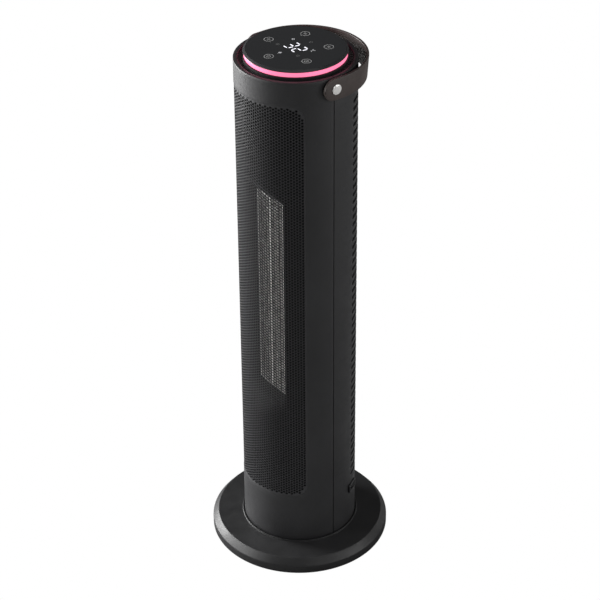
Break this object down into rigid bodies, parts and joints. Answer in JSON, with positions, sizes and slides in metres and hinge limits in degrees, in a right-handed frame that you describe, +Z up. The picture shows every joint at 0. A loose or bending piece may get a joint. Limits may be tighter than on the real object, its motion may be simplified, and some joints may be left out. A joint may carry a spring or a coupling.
{
  "type": "ceramic tower heater",
  "caption": "Tall cylindrical tower heater on a round swivelling base, with a perforated front over ceramic elements, rear louvres, a round touch panel on a light ring and a strap handle.",
  "frame": {"origin": "on the tower's axis, at the floor under the rubber feet", "axes": "+Z up the tower; -Y is the front with the perforated window; +X is the right side seen from the front"},
  "size_m": [0.2368, 0.2368, 0.7125],
  "materials": {
    "housing_plastic": "fine-textured matte charcoal moulding",
    "black_plastic": "black inner mouldings",
    "grille_metal": "powder-coated perforated sheet",
    "panel_glass": "dark printed touch panel, satin gloss",
    "light_ring": "translucent diffuser lit pink",
    "ceramic_fins": "corrugated aluminium fins on ceramic plates",
    "steel": "plain sheet and turned steel",
    "polished_rivet": "polished nickel",
    "copper": "windings and sintered bushes",
    "rubber": "black rubber",
    "nylon": "natural nylon",
    "circuit_board": "green solder mask",
    "strap_leather": "dark brown grained strap",
    "filter_cloth": "fine grey filter gauze"
  },
  "bodies": {
    "base": {"base_shell": "housing_plastic", "base_weight": "steel", "base_cover": "black_plastic", "rubber_foot_1": "rubber", "rubber_foot_2": "rubber", "rubber_foot_3": "rubber", "rubber_foot_4": "rubber", "base_screw_1": "steel", "base_screw_2": "steel", "base_screw_3": "steel", "base_screw_4": "steel", "slide_ring": "nylon", "swing_sector": "nylon", "sector_screw_1": "steel", "sector_screw_2": "steel"},
    "tower": {"swing_motor": "steel", "bottom_plate": "black_plastic", "swivel_retainer": "steel", "front_housing": "housing_plastic", "rear_housing": "housing_plastic", "front_grille": "grille_metal", "air_guide": "black_plastic", "dust_filter": "filter_cloth", "element_frame": "black_plastic", "ceramic_element_left": "ceramic_fins", "ceramic_element_right": "ceramic_fins", "thermal_cutout": "steel", "motor_can": "steel", "lower_bearing": "copper", "motor_stator": "copper", "fan_plate_lower": "black_plastic", "fan_plate_upper": "black_plastic", "upper_bearing": "copper", "fan_scroll": "black_plastic", "fan_tongue": "black_plastic", "power_board": "circuit_board", "tilt_switch": "black_plastic", "switch_body": "black_plastic", "cord_gland": "rubber", "vent_ring": "black_plastic", "panel_carrier": "black_plastic", "light_ring": "light_ring", "control_board": "circuit_board", "display_module": "nylon", "touch_spring_1": "steel", "touch_spring_2": "steel", "touch_spring_3": "steel", "touch_spring_4": "steel", "touch_spring_5": "steel", "control_panel": "panel_glass", "pivot_bush_left": "black_plastic", "pivot_bush_right": "black_plastic"},
    "impeller": {"impeller": "black_plastic", "fan_shaft": "steel", "motor_rotor": "steel"},
    "pinion": {"swing_pinion": "nylon"},
    "handle": {"handle_strap": "strap_leather", "rivet_left": "polished_rivet", "rivet_right": "polished_rivet"},
    "rocker": {"rocker_key": "black_plastic"}
  },
  "joints": [
    {"name": "tower_swing", "type": "hinge", "parent": "base", "child": "tower", "pos_m": [0, 0, 0.0215], "axis": [0, 0, 1], "range_deg": [-35, 35]},
    {"name": "pinion_spin", "type": "hinge", "parent": "tower", "child": "pinion", "pos_m": [0, 0.036, 0.015], "axis": [0, 0, 1], "range_deg": [-176, 176]},
    {"name": "fan_spin", "type": "hinge", "parent": "tower", "child": "impeller", "pos_m": [0, 0.018, 0.38], "axis": [0, 0, 1], "continuous": true},
    {"name": "handle_swing", "type": "hinge", "parent": "tower", "child": "handle", "pos_m": [0, 0, 0.6885], "axis": [1, 0, 0], "range_deg": [0, 180]},
    {"name": "rocker_tilt", "type": "hinge", "parent": "tower", "child": "rocker", "pos_m": [0.06309, 0.03791, 0.078], "axis": [0, 0, 1], "range_deg": [0, 14]}
  ],
  "couplings": [
    {"joint": "pinion_spin", "follows": "tower_swing", "ratio": -5}
  ]
}
